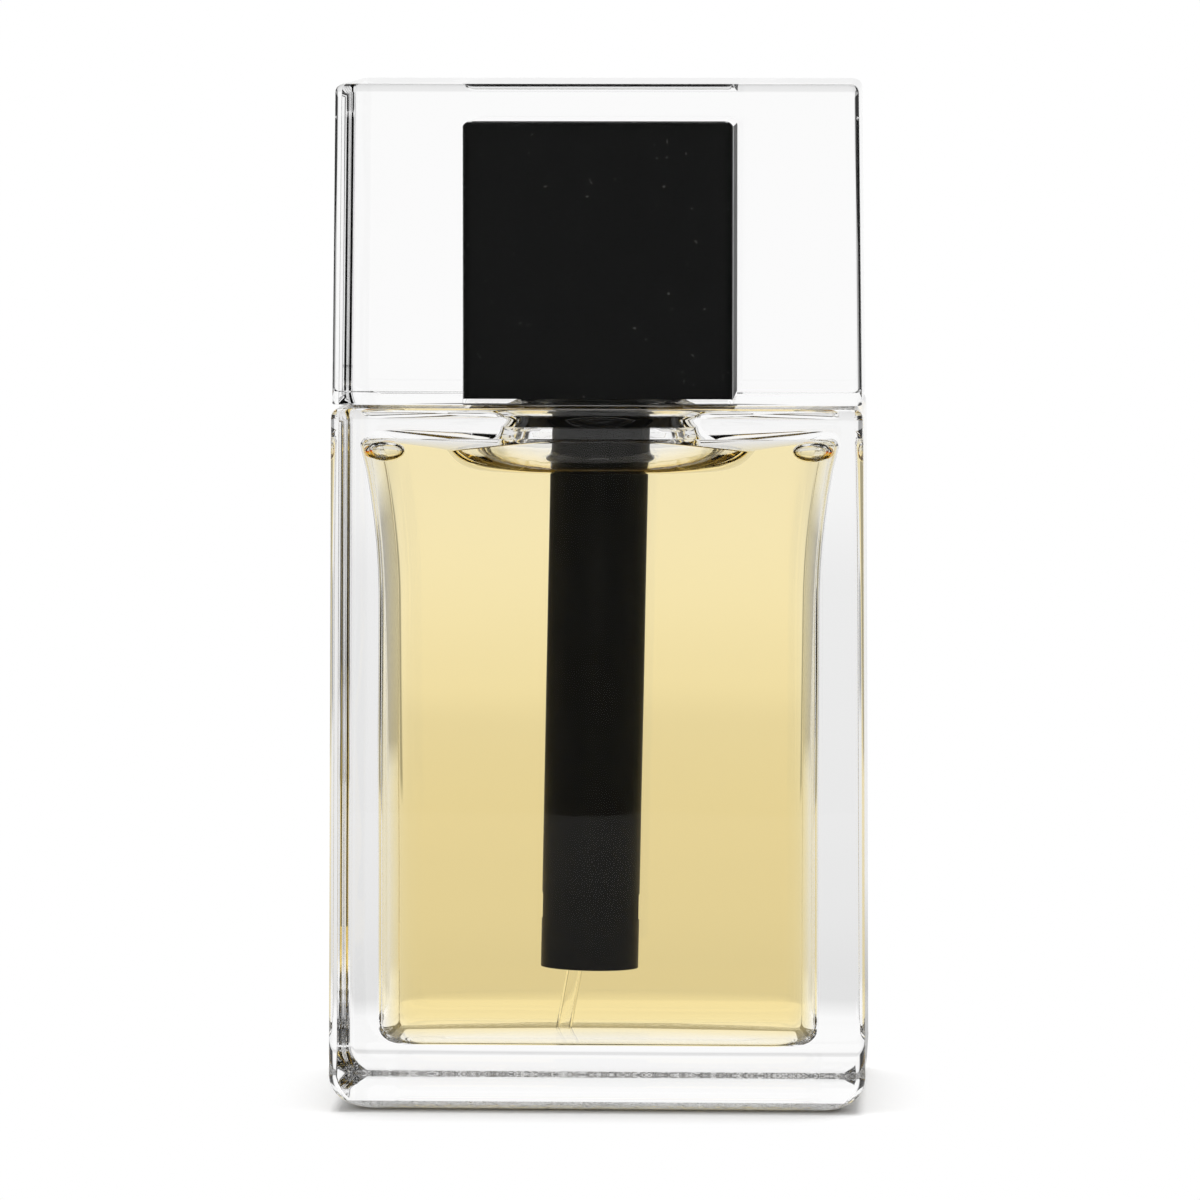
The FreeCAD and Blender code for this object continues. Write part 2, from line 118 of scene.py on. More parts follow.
# How strongly each clear material bends light; a matched one leaves it straight
GLASS_IOR = 1.52
LOTION_IOR = 1.36
ACRYLIC_IOR = 1.49
BOND_IOR = 1.40
TUBE_IOR = 1.5
MATCHED_IOR = 1.0


def linear(hex_colour):
    """A linear colour from an sRGB hex value."""
    channels = [int(hex_colour[i:i + 2], 16) / 255 for i in (1, 3, 5)]
    return tuple(c / 12.92 if c <= 0.04045 else ((c + 0.055) / 1.055) ** 2.4 for c in channels)


def size_setting(name, description, default):
    """A size in millimetres that the panel offers."""
    return FloatProperty(name=name, description=f"{description} in millimetres", default=default)


def colour_setting(name, description, hex_colour):
    """A colour that the panel offers."""
    return FloatVectorProperty(
        name=name, description=description, subtype="COLOR", default=linear(hex_colour))


class BottleSizes(bpy.types.PropertyGroup):
    """Sizes of the glass and the lotion."""
    upright_edge: size_setting("Upright edge", "Radius of the glass body's upright edges", 1.1)
    heel: size_setting("Heel", "Radius of the edge round the base", 4.1)
    shoulder_edge: size_setting("Shoulder edge", "Radius of the edge round the shoulder", 1.2)
    draft: size_setting("Draft", "How much narrower each side is at the shoulder", 0.45)
    side_wall: size_setting("Side wall", "Thickness of the glass at the sides", 5.4)
    face_wall: size_setting("Face wall", "Thickness of the front and back glass at the top", 7.7)
    face_draft: size_setting("Face draft", "How far the front and back glass thins to the floor", 4.8)
    floor: size_setting("Floor", "Thickness of the glass floor at its edge", 7.3)
    floor_dome: size_setting("Floor dome", "How far the floor rises to its middle", 0.6)
    ceiling: size_setting("Ceiling", "Level of the cavity's ceiling", 75.6)
    flare: size_setting("Flare", "How far the cavity widens to its ceiling", 2.1)
    flare_height: size_setting("Flare height", "Height over which the cavity widens", 18.0)
    wobble: size_setting("Wobble", "Unevenness of the glass inside", 0.10)
    lotion_level: size_setting("Lotion level", "Level of the lotion's flat surface", 72.2)
    pocket_width: size_setting("Air pocket", "Half the width of the air pocket under the neck", 17.6)
    pocket_depth: size_setting("Air pocket depth", "Half the depth of the air pocket", 11.3)


class CapSizes(bpy.types.PropertyGroup):
    """Sizes of the clear cap."""
    upright_edge: size_setting("Upright edge", "Radius of the cap's upright edges", 0.9)
    top_edge: size_setting("Top edge", "Radius of the cap's top edges", 1.0)
    foot_edge: size_setting("Foot edge", "Radius of the cap's bottom edges", 0.15)
    draft: size_setting("Draft", "How much narrower each side is at the top", 0.45)
    core_edge: size_setting("Core edge", "Radius of the core's top edges", 0.9)
    wobble: size_setting("Wobble", "Unevenness of the polished top edges", 0.06)


class BottleColours(bpy.types.PropertyGroup):
    """Colours of the finishes."""
    lotion: colour_setting("Lotion", "Colour that the lotion passes", "#FAE223")
    core: colour_setting("Core", "Black lacquer of the cap's core", "#101110")
    sleeve: colour_setting("Sleeve", "Black of the sleeve", "#0B0B07")
    anodised: colour_setting("Anodised", "Black anodised collar and button", "#26272A")
    moulding: colour_setting("Moulding", "Matte black mouldings", "#1A1A1B")
    pump: colour_setting("Pump", "Milky pump mouldings", "#E4E6E3")


class StageSettings(bpy.types.PropertyGroup):
    """Place, aim and lens of the camera."""
    distance: FloatProperty(
        name="Distance", description="Camera to the bottle's middle", default=0.894, unit="LENGTH")
    azimuth: FloatProperty(
        name="Azimuth",
        description="Camera's turn to the right of the front", default=math.radians(2.5), subtype="ANGLE")
    elevation: FloatProperty(
        name="Elevation",
        description="Camera's height above the middle", default=math.radians(4.95), subtype="ANGLE")
    aim: FloatVectorProperty(
        name="Aim",
        description="Point in the middle of the picture", default=(-0.0004, 0.0, 0.0568), subtype="XYZ")
    lens: FloatProperty(
        name="Lens", description="Focal length in millimetres on a 36 mm sensor", default=232.8)


def section(half_x, half_y, corner, level, stretch=1.0):
    """Points of a rounded rectangle at a level, closer together towards its corners."""
    arcs = []
    run = corner * stretch
    for quarter, (side_x, side_y) in enumerate(((1, 1), (-1, 1), (-1, -1), (1, -1))):
        centre = Vector((side_x * (half_x - corner), side_y * (half_y - run), level))
        angles = [math.radians(90) * (quarter + step / CORNER_STEPS) for step in range(CORNER_STEPS + 1)]
        arcs.append([centre + Vector((corner * math.cos(a), run * math.sin(a), 0)) for a in angles])
    points = []
    for quarter, arc in enumerate(arcs):
        side_end = arcs[(quarter + 1) % 4][0]
        shares = [0.5 - 0.5 * math.cos(math.pi * step / SIDE_STEPS) for step in range(1, SIDE_STEPS)]
        points += arc + [arc[-1].lerp(side_end, share) for share in shares]
    return points


def round_section(radius, level, offset=0.0):
    """Points of a circle at a level, as many as a rounded rectangle has."""
    points = []
    for quarter in range(4):
        low = math.radians(90) * quarter + ROUND_SIDE_ANGLE
        high = math.radians(90) * (quarter + 1) - ROUND_SIDE_ANGLE
        angles = [low + (high - low) * step / CORNER_STEPS for step in range(CORNER_STEPS + 1)]
        angles += [high + 2 * ROUND_SIDE_ANGLE * step / SIDE_STEPS for step in range(1, SIDE_STEPS)]
        points += [Vector((offset + radius * math.cos(a), radius * math.sin(a), level)) for a in angles]
    return points


def arc_steps():
    """Sine and cosine of even steps of a quarter turn."""
    angles = [math.radians(90 * step / ARC_STEPS) for step in range(ARC_STEPS + 1)]
    return [(math.sin(a), math.cos(a)) for a in angles]


def uneven(points, amount, wave):
    """Points pushed in or out from the axis by smooth noise of a wavelength in millimetres."""
    moved = []
    for point in points:
        out = Vector((point.x, point.y, 0)).normalized()
        moved.append(point + out * amount * noise.noise(point / wave))
    return moved


def ring_edges(mesh, ring):
    """The edges between a ring's neighbouring points."""
    return [mesh.edges.get((ring[i - 1], ring[i])) for i in range(len(ring))]


def loft(mesh, bands, closed=False):
    """Extrude a ring through bands of (material index, sections), then close its ends or join them."""
    ring = None
    for material, sections in bands:
        for points in sections:
            if ring is None:
                ring = bmesh.ops.create_circle(mesh, segments=len(points), radius=MM)["verts"]
                first = ring
            else:
                made = bmesh.ops.extrude_edge_only(mesh, edges=ring_edges(mesh, ring))["geom"]
                new = {item for item in made if isinstance(item, bmesh.types.BMVert)}
                for face in (item for item in made if isinstance(item, bmesh.types.BMFace)):
                    face.material_index = material
                ring = [next(e.other_vert(v) for e in v.link_edges if e.other_vert(v) in new) for v in ring]
            for vert, point in zip(ring, points):
                vert.co = point * MM
    if closed:
        join = bmesh.ops.bridge_loops(mesh, edges=ring_edges(mesh, first) + ring_edges(mesh, ring))["faces"]
        for face in join:
            face.material_index = bands[-1][0]
    else:
        for end, material in ((first, bands[0][0]), (ring, bands[-1][0])):
            for face in bmesh.ops.edgeloop_fill(mesh, edges=ring_edges(mesh, end))["faces"]:
                face.material_index = material
    bmesh.ops.recalc_face_normals(mesh, faces=mesh.faces)


def add_piece(name, mesh, materials, body):
    """Make an object of a finished bmesh, dress it and ride it on a body."""
    data = bpy.data.meshes.new(name)
    for face in mesh.faces:
        face.smooth = True
    mesh.to_mesh(data)
    mesh.free()
    for material in materials:
        data.materials.append(material)
    piece = bpy.data.objects.new(name, data)
    bpy.context.scene.collection.objects.link(piece)
    normals = piece.modifiers.new("flat_faces", "WEIGHTED_NORMAL")
    normals.mode = "FACE_AREA"
    normals.weight = 100
    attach(piece, body)
    return piece


def node(tree, kind, links=None, inputs=None, **settings):
    """Add a node, with its settings, its input values and links from (node, output) to its inputs."""
    made = tree.nodes.new(kind)
    for key, value in settings.items():
        setattr(made, key, value)
    for key, value in (inputs or {}).items():
        made.inputs[key].default_value = value
    for key, (source, output) in (links or {}).items():
        tree.links.new(source.outputs[output], made.inputs[key])
    return made


def new_material(name, **values):
    """A material with a Principled shader whose sockets take plain values."""
    material = bpy.data.materials.new(name)
    material.use_nodes = True
    shader = material.node_tree.nodes["Principled BSDF"]
    for key, value in values.items():
        shader.inputs[key].default_value = value
    return material, material.node_tree, shader


def add_bump(tree, shader, height, strength, distance):
    """Drive a shader's normal from noise, with a distance in millimetres."""
    bump = node(tree, "ShaderNodeBump", links={"Height": (height, "Fac")},
                inputs={"Strength": strength, "Distance": distance * MM})
    tree.links.new(bump.outputs["Normal"], shader.inputs["Normal"])


def object_noise(tree, wave, detail=2.0, stretch=(1.0, 1.0, 1.0)):
    """Noise on Object coordinates with a wavelength in millimetres."""
    place = node(tree, "ShaderNodeTexCoord")
    mapped = node(tree, "ShaderNodeMapping", links={"Vector": (place, "Object")}, inputs={"Scale": stretch})
    return node(tree, "ShaderNodeTexNoise", links={"Vector": (mapped, "Vector")},
                inputs={"Scale": 1.0 / (wave * MM), "Detail": detail})


def clear_material(name, ior, roughness=0.0):
    """A clear solid: it bends what is behind it, and shows edges as dark and bright lines."""
    return new_material(name, **{
        "Base Color": (1.0, 1.0, 1.0, 1.0), "Roughness": roughness, "IOR": ior, "Transmission Weight": 1.0})


def flint_glass():
    """Pressed flint glass: clear, with slow flow waves left by the mould on its outside."""
    material, tree, shader = clear_material("flint_glass_pressed", GLASS_IOR)
    waves = object_noise(tree, wave=14.0, detail=1.0)
    add_bump(tree, shader, waves, strength=0.35, distance=0.05)
    return material


def wetted_glass():
    """The same glass where lotion touches it: its faces nearly vanish, because the two bend light alike."""
    return clear_material("flint_glass_wetted", GLASS_IOR / LOTION_IOR)[0]


# Grey painted into the stippled ring's colour as painted shade, so that the base's line shows darker
STIPPLE_PAINTED_SHADE = 0.5


def stippled_glass():
    """The base's bearing ring, stippled by the mould: grainy and half frosted, with a painted shade of grey
    in its colour that darkens the light through it.
    """
    material, tree, shader = clear_material("flint_glass_stippled", GLASS_IOR, roughness=0.06)
    # Painted shade: a grey colour that darkens the light passing through the stipple
    shader.inputs["Base Color"].default_value = (STIPPLE_PAINTED_SHADE, STIPPLE_PAINTED_SHADE, STIPPLE_PAINTED_SHADE, 1.0)
    grain = object_noise(tree, wave=0.6, detail=3.0)
    add_bump(tree, shader, grain, strength=1.0, distance=0.9)
    return material


LOTION_DENSITY = 30.0


def lotion_body():
    """Alcohol lotion: it takes blue first, so that it turns from straw to amber with depth."""
    colour = bpy.context.scene.bottle_colours.lotion
    material, tree = clear_material("lotion_amber", MATCHED_IOR)[:2]
    volume = node(tree, "ShaderNodeVolumeAbsorption",
                  inputs={"Color": (*colour, 1.0), "Density": LOTION_DENSITY})
    tree.links.new(volume.outputs["Volume"], tree.nodes["Material Output"].inputs["Volume"])
    return material


def lotion_skin():
    """The lotion's free surface, which glints and bends light, and the skin's plain underside."""
    surface = clear_material("lotion_free_surface", LOTION_IOR)[0]
    underside = clear_material("lotion_under_surface", MATCHED_IOR)[0]
    return [surface, underside]


def clear_acrylic():
    """Polished cast acrylic: clear with the faintest polishing waves."""
    material, tree, shader = clear_material("acrylic_polished", ACRYLIC_IOR)
    waves = object_noise(tree, wave=18.0, detail=1.0)
    add_bump(tree, shader, waves, strength=0.25, distance=0.04)
    return material


def bonded_acrylic():
    """Acrylic against the clear bond round the core: black face on, and a grainy mirror at a low angle."""
    material, tree, shader = clear_material("acrylic_bonded", ACRYLIC_IOR / BOND_IOR)
    grain = object_noise(tree, wave=0.3, detail=2.0)
    add_bump(tree, shader, grain, strength=0.4, distance=0.02)
    return material


def seated_acrylic():
    """Acrylic seated on the core's sides without a gap, so that the core's own grain shows at a low angle."""
    return clear_material("acrylic_seated", MATCHED_IOR)[0]


def black_lacquer():
    """Satin black lacquer on a moulding: deep black, fine orange peel, a few dust specks."""
    colour = bpy.context.scene.bottle_colours.core
    material, tree, shader = new_material("black_lacquer_satin", **{
        "Roughness": 0.42, "Specular IOR Level": 0.10})
    specks = object_noise(tree, wave=0.55, detail=1.0)
    ramp = node(tree, "ShaderNodeValToRGB", links={"Fac": (specks, "Fac")})
    ramp.color_ramp.elements[0].position = 0.74
    ramp.color_ramp.elements[0].color = (*colour, 1.0)
    ramp.color_ramp.elements[1].position = 0.80
    ramp.color_ramp.elements[1].color = (*linear("#4A4B4B"), 1.0)
    tree.links.new(ramp.outputs["Color"], shader.inputs["Base Color"])
    peel = object_noise(tree, wave=0.35, detail=2.0)
    add_bump(tree, shader, peel, strength=0.3, distance=0.03)
    return material


def sleeve_plastic():
    """Extruded black plastic tube: smooth, with faint draw lines along it."""
    colour = bpy.context.scene.bottle_colours.sleeve
    material, tree, shader = new_material("black_tube_extruded", **{
        "Base Color": (*colour, 1.0), "Roughness": 0.35, "Specular IOR Level": 0.05})
    lines = object_noise(tree, wave=0.5, detail=2.0, stretch=(1.0, 1.0, 0.02))
    add_bump(tree, shader, lines, strength=0.25, distance=0.03)
    return material


def tube_plastic():
    """Clear extruded tube in the lotion: only its bend of light against the lotion shows."""
    material, tree, shader = clear_material("clear_tube_extruded", TUBE_IOR / LOTION_IOR, roughness=0.02)
    lines = object_noise(tree, wave=0.6, detail=1.0, stretch=(1.0, 1.0, 0.05))
    add_bump(tree, shader, lines, strength=0.2, distance=0.02)
    return material


def milky_plastic():
    """Natural polypropylene: milky, soft, a little light passes into it."""
    colour = bpy.context.scene.bottle_colours.pump
    material, tree, shader = new_material("polypropylene_natural", **{
        "Base Color": (*colour, 1.0), "Roughness": 0.45, "IOR": 1.49,
        "Subsurface Weight": 0.3, "Subsurface Radius": (0.002, 0.002, 0.002)})
    grain = object_noise(tree, wave=0.6)
    add_bump(tree, shader, grain, strength=0.2, distance=0.03)
    return material


def rubber():
    """Nitrile rubber: dark, dull, slightly powdery."""
    material, tree, shader = new_material("nitrile_rubber", **{
        "Base Color": (*linear("#2A2A2A"), 1.0), "Roughness": 0.8})
    add_bump(tree, shader, object_noise(tree, wave=0.4), strength=0.4, distance=0.05)
    return material


def bare_metal(name, hex_colour, roughness):
    """Bare steel or aluminium with fine drawing marks."""
    material, tree, shader = new_material(name, **{
        "Base Color": (*linear(hex_colour), 1.0), "Metallic": 1.0, "Roughness": roughness})
    add_bump(tree, shader, object_noise(tree, wave=0.3), strength=0.15, distance=0.02)
    return material


def black_anodised():
    """Bead-blasted aluminium, anodised black: satin, with a very fine even grain."""
    colour = bpy.context.scene.bottle_colours.anodised
    material, tree, shader = new_material("aluminium_black_anodised", **{
        "Base Color": (*colour, 1.0), "Metallic": 1.0, "Roughness": 0.32})
    add_bump(tree, shader, object_noise(tree, wave=0.18, detail=3.0), strength=0.35, distance=0.02)
    return material


def black_moulding():
    """Matte black ABS from a spark-eroded mould: even fine texture."""
    colour = bpy.context.scene.bottle_colours.moulding
    material, tree, shader = new_material("abs_black_textured", **{
        "Base Color": (*colour, 1.0), "Roughness": 0.55})
    add_bump(tree, shader, object_noise(tree, wave=0.25, detail=3.0), strength=0.5, distance=0.03)
    return material


# Level in millimetres below which the front and back walls are at their thinnest
THIN_LEVEL = 28.0


def cavity_half_width(level):
    """Half the cavity's width at a level: upright, then sweeping outwards to the ceiling."""
    sizes = bpy.context.scene.bottle_sizes
    rise = max(0.0, level - (sizes.ceiling - sizes.flare_height))
    sweep = (sizes.flare_height ** 2 + sizes.flare ** 2) / (2 * sizes.flare)
    return glass_high.x - sizes.side_wall + sweep - math.sqrt(sweep ** 2 - rise ** 2)


def cavity_half_depth(level):
    """Half the cavity's depth at a level: the front and back walls thin towards the floor."""
    sizes = bpy.context.scene.bottle_sizes
    share = min(1.0, max(0.0, (sizes.ceiling - level) / (sizes.ceiling - THIN_LEVEL)))
    return glass_high.y - sizes.face_wall + sizes.face_draft * share ** 2 * (3 - 2 * share)


# Sizes of the cavity and the air pocket: millimetres, shares and counts of steps
CAVITY_CORNER = 4.5
CAVITY_STEPS = 24
FADE_STEPS = 6
CAVITY_FLOOR_EDGE = 2.2
CAVITY_FLOOR_CORNER = 2.4
CAVITY_FLOOR_SHARES = (0.9, 0.7, 0.45, 0.2, 0.05)
CEILING_EDGE = 1.0
CEILING_EDGE_DEPTH = 0.4
CEILING_RISE = 0.7
POCKET_CORNER = 10.0
POCKET_RISE = -1.0
POCKET_ARCH = 1.6
WOBBLE_WAVE = 17.0


def arch(across):
    """How much higher the air pocket's edge stands over the bottle's middle than at its two tips."""
    reach = bpy.context.scene.bottle_sizes.pocket_width
    return Vector((0, 0, POCKET_ARCH * max(0.0, 1 - (across / reach) ** 2)))


def cavity_sections(inset):
    """The wetted cavity from the air pocket's edge over the ceiling, down the walls and in over the floor."""
    sizes = bpy.context.scene.bottle_sizes
    ceiling = sizes.ceiling - inset
    corner = CAVITY_CORNER - inset
    edge = section(sizes.pocket_width, sizes.pocket_depth, POCKET_CORNER, ceiling + POCKET_RISE)
    sections = [[point + arch(point.x) for point in edge]]
    for sine, cosine in arc_steps():
        level = ceiling + CEILING_RISE - CEILING_EDGE * (1 - cosine)
        half_x = cavity_half_width(sizes.ceiling) - inset
        half_y = cavity_half_depth(sizes.ceiling) - inset
        draw = CEILING_EDGE * (1 - sine)
        draw_y = CEILING_EDGE_DEPTH * draw
        sections.append(section(half_x - draw, half_y - draw_y, corner - draw_y, level))
    top = ceiling + CEILING_RISE - CEILING_EDGE
    foot = sizes.floor + CAVITY_FLOOR_EDGE
    for step in range(1, CAVITY_STEPS):
        level = top + (foot - top) * step / CAVITY_STEPS
        points = section(cavity_half_width(level) - inset, cavity_half_depth(level) - inset, corner, level)
        fade = min(1.0, step / FADE_STEPS, (CAVITY_STEPS - step) / FADE_STEPS)
        sections.append(uneven(points, fade * sizes.wobble, WOBBLE_WAVE))
    for sine, cosine in arc_steps():
        draw = CAVITY_FLOOR_EDGE * (1 - cosine)
        level = foot - CAVITY_FLOOR_EDGE * sine + inset
        half_x = cavity_half_width(level) - inset
        half_y = cavity_half_depth(level) - inset
        sections.append(section(half_x - draw, half_y - draw, corner - CORNER_SHRINK * draw, level))
    edge_x = cavity_half_width(sizes.floor) - CAVITY_FLOOR_EDGE
    edge_y = cavity_half_depth(sizes.floor) - CAVITY_FLOOR_EDGE
    for share in CAVITY_FLOOR_SHARES:
        level = sizes.floor + inset + sizes.floor_dome * (1 - share ** 2)
        sections.append(section(edge_x * share, edge_y * share, CAVITY_FLOOR_CORNER * share, level))
    return sections


def glass_outside():
    """The glass from the middle of its base out over the bearing ring, and up the body to the neck's root."""
    sizes = bpy.context.scene.bottle_sizes
    half_x, half_y = glass_high.x, glass_high.y
    inner_x, inner_y = half_x - BEARING_WIDTH, half_y - BEARING_WIDTH
    base = []
    for share in RECESS_SHARES:
        level = RECESS_DEPTH + RECESS_DOME * (1 - share)
        base.append(section(inner_x * share, inner_y * share, RECESS_CORNER * share, level))
    for sine, cosine in arc_steps():
        out = RECESS_DEPTH * (sine - 1)
        base.append(section(inner_x + out, inner_y + out, RECESS_CORNER + out, RECESS_DEPTH * cosine))
    bearing = []
    for share in BEARING_SHARES:
        out = (BEARING_WIDTH - sizes.heel) * share
        bearing.append(section(inner_x + out, inner_y + out, BEARING_CORNER, 0.0))
    body = []
    for sine, cosine in arc_steps()[1:]:
        draw = sizes.heel * (1 - sine)
        corner = sizes.upright_edge + HEEL_CORNER * cosine
        level = sizes.heel * (1 - cosine)
        body.append(section(half_x - draw, half_y - draw, corner, level, BODY_STRETCH))
    top = SHOULDER_LEVEL - sizes.shoulder_edge
    for level in (sizes.heel + EDGE_RING, *BODY_LEVELS, top - EDGE_RING):
        draw = sizes.draft * level / top
        body.append(section(half_x - draw, half_y, sizes.upright_edge, level, BODY_STRETCH))
    half_x -= sizes.draft
    for sine, cosine in arc_steps():
        draw = sizes.shoulder_edge * (1 - cosine)
        corner = sizes.upright_edge - CORNER_SHRINK * draw
        level = top + sizes.shoulder_edge * sine
        body.append(section(half_x - draw, half_y - draw, corner, level, BODY_STRETCH))
    draw = sizes.shoulder_edge + EDGE_RING
    corner = sizes.upright_edge - CORNER_SHRINK * sizes.shoulder_edge
    body.append(section(half_x - draw, half_y - draw, corner, SHOULDER_LEVEL))
    body.append(round_section(NECK_RADIUS + NECK_ROOT + ROOT_RING, SHOULDER_LEVEL))
    return base, bearing, body


def neck_profile(throat_top):
    """The neck's root, bead, lip and bore as (radius, level), down to the throat."""
    profile = []
    for sine, cosine in arc_steps():
        profile.append((NECK_RADIUS + NECK_ROOT * (1 - sine), SHOULDER_LEVEL + NECK_ROOT * (1 - cosine)))
    bead_low = NECK_TOP - BEAD_HEIGHT
    profile.append((NECK_RADIUS, bead_low))
    for sine, cosine in arc_steps():
        profile.append((BEAD_RADIUS - BEAD_EDGE * (1 - sine), bead_low + BEAD_EDGE * (1 - cosine)))
    for sine, cosine in arc_steps():
        profile.append((BEAD_RADIUS - BEAD_EDGE * (1 - cosine), NECK_TOP - BEAD_EDGE * (1 - sine)))
    for sine, cosine in arc_steps():
        profile.append((BORE_RADIUS + LIP_EDGE * (1 - sine), NECK_TOP - LIP_EDGE * (1 - cosine)))
    profile.append((BORE_RADIUS, throat_top + BORE_FOOT))
    for sine, cosine in arc_steps():
        profile.append((BORE_RADIUS + BORE_EDGE * (1 - cosine), throat_top + BORE_EDGE * (1 - sine)))
    return profile


def glass_neck():
    """The neck, and under its bore the throat: a chamfer, then a flare to the air pocket's arched edge."""
    sizes = bpy.context.scene.bottle_sizes
    throat_top = sizes.ceiling + THROAT_HEIGHT
    throat_waist = throat_top - CHAMFER_DROP
    throat_foot = sizes.ceiling + POCKET_RISE
    sections = [round_section(radius, level) for radius, level in neck_profile(throat_top)]
    for sine, cosine in arc_steps():
        draw = CHAMFER_IN * cosine ** 2
        level = throat_top - CHAMFER_DROP * sine ** 2
        corner = THROAT_CORNER - CORNER_SHRINK * draw
        sections.append(section(THROAT_WIDTH - draw, THROAT_DEPTH - draw, corner, level))
    for sine, cosine in arc_steps()[1:]:
        out = 1 - cosine
        level = throat_foot + (throat_waist - throat_foot) * (1 - sine)
        flare = section(THROAT_WIDTH + FLARE_WIDTH * out, THROAT_DEPTH + FLARE_DEPTH * out,
                        THROAT_CORNER + FLARE_CORNER * out, level)
        sections.append([point + arch(point.x) * out for point in flare])
    return sections


def build_glass():
    """One closed skin: base, body, neck, bore, throat and the wetted cavity."""
    base, bearing, body = glass_outside()
    wetted = cavity_sections(0.0)
    stippled = base[-STIPPLED_RINGS:] + bearing + body[:STIPPLED_RINGS]
    polished = body[STIPPLED_RINGS:] + glass_neck() + wetted[:1]
    mesh = bmesh.new()
    loft(mesh, [(0, base[:-STIPPLED_RINGS]), (2, stippled), (0, polished), (1, wetted[1:])])
    return mesh


def sleeve_axis(level):
    """How far the leaning sleeve's axis stands from the bottle's at a level."""
    return (level - SLEEVE_PIVOT) * SLEEVE_LEAN


# Sizes of the lotion and its bubbles: millimetres, shares and counts of steps
LOTION_GAP = 0.03
SKIN = 0.02
COLUMN_TOP = 58.0
COLUMN_END = 0.1
COLUMN_LEVELS = (30.0, 50.0)
MENISCUS = 1.2
POCKET_STEPS = 14
POCKET_CURVE = 7.0
BUBBLE = (2.3, 1.7, 1.25)
BUBBLE_GAP = 0.6
BUBBLE_DROP = 0.2
BUBBLE_TURNS = 48
BUBBLE_RINGS = 32


def free_surface(inset):
    """The lotion's surface under the air pocket, from the sleeve to the pocket's edge, less an inset."""
    sizes = bpy.context.scene.bottle_sizes
    level = sizes.lotion_level - inset
    half_x, half_y, corner = sizes.pocket_width + inset, sizes.pocket_depth + inset, POCKET_CORNER + inset
    sections = []
    for sine, cosine in arc_steps():
        radius = SLEEVE_RADIUS + LOTION_GAP + 2 * SKIN - inset + MENISCUS * (1 - cosine)
        height = level + MENISCUS * (1 - sine)
        sections.append(round_section(radius, height, sleeve_axis(height)))
    middle = sections[-1]
    rim = section(half_x, half_y, corner, level)
    climb = Vector((0, 0, sizes.ceiling + POCKET_RISE - LOTION_GAP - level))
    for step in range(1, POCKET_STEPS + 1):
        share = math.sin(math.radians(90 * step / POCKET_STEPS))
        points = []
        for start, end in zip(middle, rim):
            points.append(start.lerp(end, share) + (climb + arch(end.x)) * share ** POCKET_CURVE)
        sections.append(points)
    return sections


def build_lotion():
    """The lotion: round the sleeve and up inside it, its free surface under the air pocket, and the walls."""
    inside = SLEEVE_RADIUS - SLEEVE_WALL - LOTION_GAP
    outside = SLEEVE_RADIUS + LOTION_GAP
    sleeve_foot = sleeve_low.z - LOTION_GAP
    rings = [(COLUMN_END * inside, COLUMN_TOP), (inside, COLUMN_TOP), (inside, sleeve_foot)]
    rings += [(outside, level) for level in (sleeve_foot, *COLUMN_LEVELS)]
    column = [round_section(radius, level, sleeve_axis(level)) for radius, level in rings]
    mesh = bmesh.new()
    loft(mesh, [(0, column + free_surface(2 * SKIN) + cavity_sections(LOTION_GAP)[1:])])
    add_bubbles(mesh, 2 * SKIN, 0, hollow=True)
    return mesh


def build_skin():
    """The lotion's surface as a thin skin, with the bubbles' skins."""
    mesh = bmesh.new()
    loft(mesh, [(0, free_surface(0.0)), (1, free_surface(SKIN)[::-1])], closed=True)
    add_bubbles(mesh, SKIN, 1, hollow=False)
    add_bubbles(mesh, 0.0, 0, hollow=True)
    return mesh


def add_bubbles(mesh, inset, material, hollow):
    """Two flat air bubbles caught in the top corners at the front, grown by an inset."""
    sizes = bpy.context.scene.bottle_sizes
    wide, deep, tall = BUBBLE
    across = cavity_half_width(sizes.ceiling) - wide - BUBBLE_GAP
    depth = BUBBLE_GAP + deep - cavity_half_depth(sizes.ceiling)
    level = sizes.ceiling + CEILING_RISE - tall - BUBBLE_DROP
    for side in (-1, 1):
        ball = bmesh.ops.create_uvsphere(mesh, u_segments=BUBBLE_TURNS, v_segments=BUBBLE_RINGS, radius=MM)
        made = ball["verts"]
        bmesh.ops.scale(mesh, verts=made, vec=(wide + inset, deep + inset, tall + inset))
        bmesh.ops.translate(mesh, verts=made, vec=Vector((side * across, depth, level)) * MM)
        faces = list({face for vert in made for face in vert.link_faces})
        for face in faces:
            face.material_index = material
        bmesh.ops.recalc_face_normals(mesh, faces=faces)
        if hollow:
            bmesh.ops.reverse_faces(mesh, faces=faces)


# Sizes of the cap that nobody would change by themselves: millimetres and shares
CORE_GAP = 0.05
POCKET_TOP_CORNER = 0.4
POCKET_SIDE_CORNER = 0.8
POCKET_RING = 0.4
POCKET_SHRINK = 0.3
POCKET_TOP_SHARES = (0.1, 0.9)
CAP_SIDE_SHARES = (0.02, 0.5, 0.98)
CAP_TOP_SHARES = (0.97, 0.6, 0.1)
EDGE_STRETCH = 1.8
TOP_STRETCH = 1.3
TOP_CORNER = 0.4
TOP_SHRINK = 0.4
TOP_WAVE = 5.0
SIDE_FACING = 0.9


